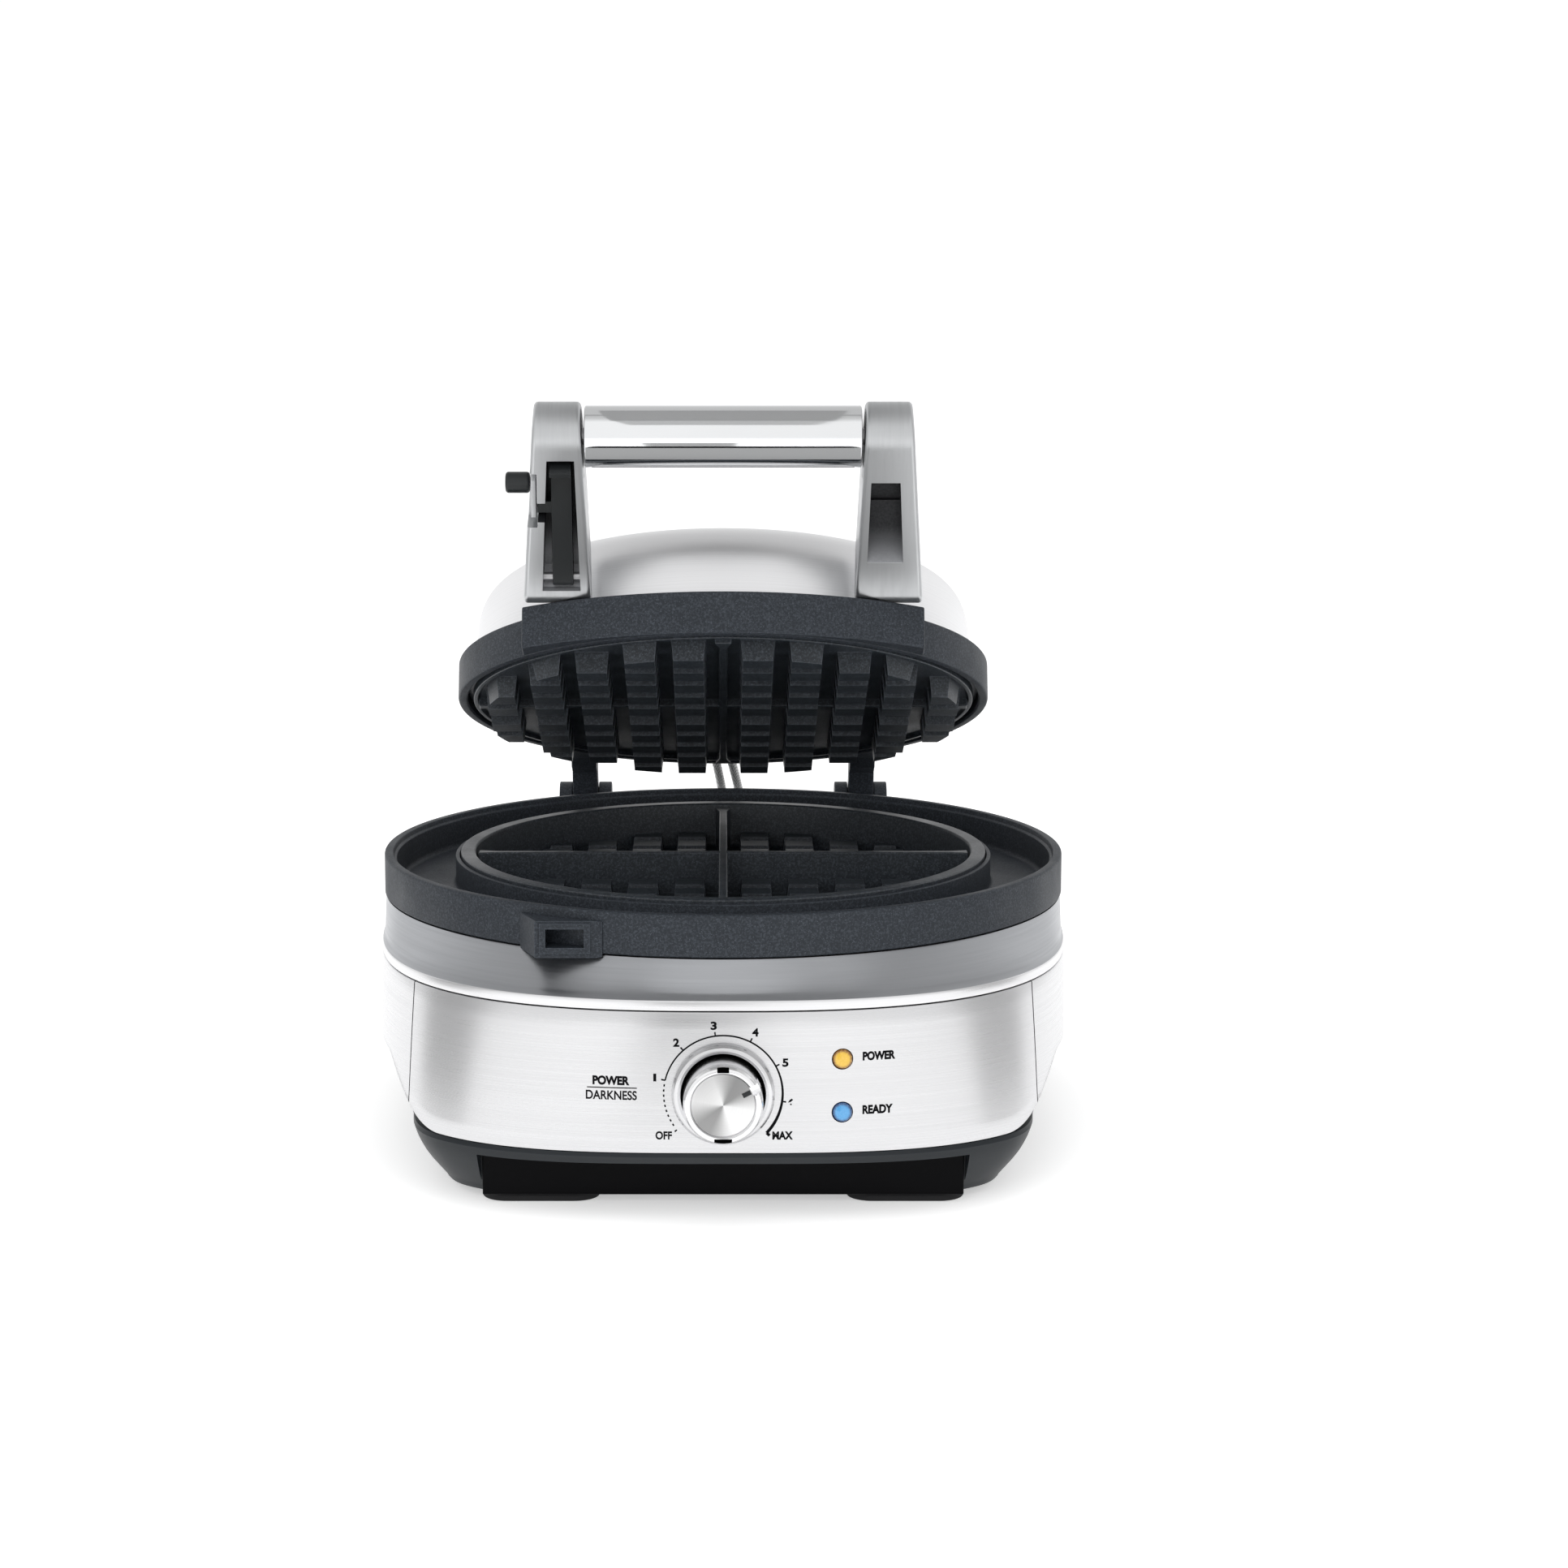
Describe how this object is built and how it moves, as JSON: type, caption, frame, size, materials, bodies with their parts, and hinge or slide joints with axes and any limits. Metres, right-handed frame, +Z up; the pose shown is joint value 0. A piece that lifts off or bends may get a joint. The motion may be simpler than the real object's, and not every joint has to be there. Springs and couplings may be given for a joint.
{
  "type": "round waffle maker",
  "caption": "Countertop round waffle maker: hinged grid lid with bar handle and fold-down latch, overflow moat ring, steel body with darkness dial and lamps.",
  "frame": {"origin": "centre of the bounding box at the underside of the feet, with the lid as in the picture, opened about 23 degrees", "axes": "+X to the right as seen from the front, +Y to the back, +Z up"},
  "size_m": [0.25, 0.3, 0.2745],
  "materials": {
    "steel": "fine horizontal brushing, satin",
    "chrome": "polished",
    "satin_grey": "satin silver grey",
    "grey_arm": "satin silver-grey moulding",
    "cast_dark": "dark grey coating with fine speckle, matte",
    "plate_coating": "black non-stick coating, low sheen",
    "dark_plastic": "dark blue-grey moulding, satin",
    "gloss_black": "gloss black",
    "rubber": "matte",
    "inner_steel": "plain",
    "board": "green board",
    "amber": "translucent amber",
    "blue": "translucent blue",
    "sleeve": "silvery glass-fibre sleeve"
  },
  "bodies": {
    "base": {"base_housing": "dark_plastic", "base_screw_front_left": "inner_steel", "base_screw_front_right": "inner_steel", "base_screw_rear_left": "inner_steel", "base_screw_rear_right": "inner_steel", "catch_box": "cast_dark", "cord_gland": "rubber", "dial_bezel": "steel", "foot_front_left": "rubber", "foot_front_right": "rubber", "foot_rear_left": "rubber", "foot_rear_right": "rubber", "front_fascia": "steel", "hinge_bracket_left": "cast_dark", "hinge_bracket_right": "cast_dark", "hinge_pin_left": "inner_steel", "hinge_pin_right": "inner_steel", "led_board": "board", "lid_wire_left": "sleeve", "lid_wire_right": "sleeve", "lower_element": "inner_steel", "lower_plate": "plate_coating", "lower_reflector": "inner_steel", "moat_ring": "cast_dark", "power_lens": "amber", "ready_lens": "blue", "rear_panel": "steel", "shoulder": "satin_grey", "terminal_block": "dark_plastic", "thermostat_body": "dark_plastic", "toe_kick_panel": "gloss_black"},
    "lid": {"lid_ring": "cast_dark", "upper_plate": "plate_coating", "lid_dome": "steel", "upper_element": "inner_steel", "upper_reflector": "inner_steel", "thermal_fuse": "inner_steel", "handle_bracket": "cast_dark", "arm_left": "grey_arm", "arm_right": "grey_arm", "handle_tube": "chrome", "handle_rod": "inner_steel", "hinge_arm_left": "cast_dark", "hinge_arm_right": "cast_dark", "latch_pin": "inner_steel"},
    "latch": {"latch_lever": "dark_plastic", "latch_plate": "grey_arm", "latch_peg": "dark_plastic"},
    "dial": {"dial_knob": "chrome", "dial_shaft": "inner_steel"}
  },
  "joints": [
    {"name": "lid_hinge", "type": "hinge", "parent": "base", "child": "lid", "pos_m": [0, 0.133, 0.097], "axis": [-1, 0, 0], "range_deg": [-22.9, 80], "deforming": ["lid_wire_left", "lid_wire_right"]},
    {"name": "latch_swing", "type": "hinge", "parent": "lid", "child": "latch", "pos_m": [0, -0.05949, 0.21271], "axis": [1, 0, 0], "range_deg": [0, 86.8]},
    {"name": "dial_turn", "type": "hinge", "parent": "base", "child": "dial", "pos_m": [0, -0.15, 0.045], "axis": [0, 1, 0], "range_deg": [-191, 70]}
  ]
}
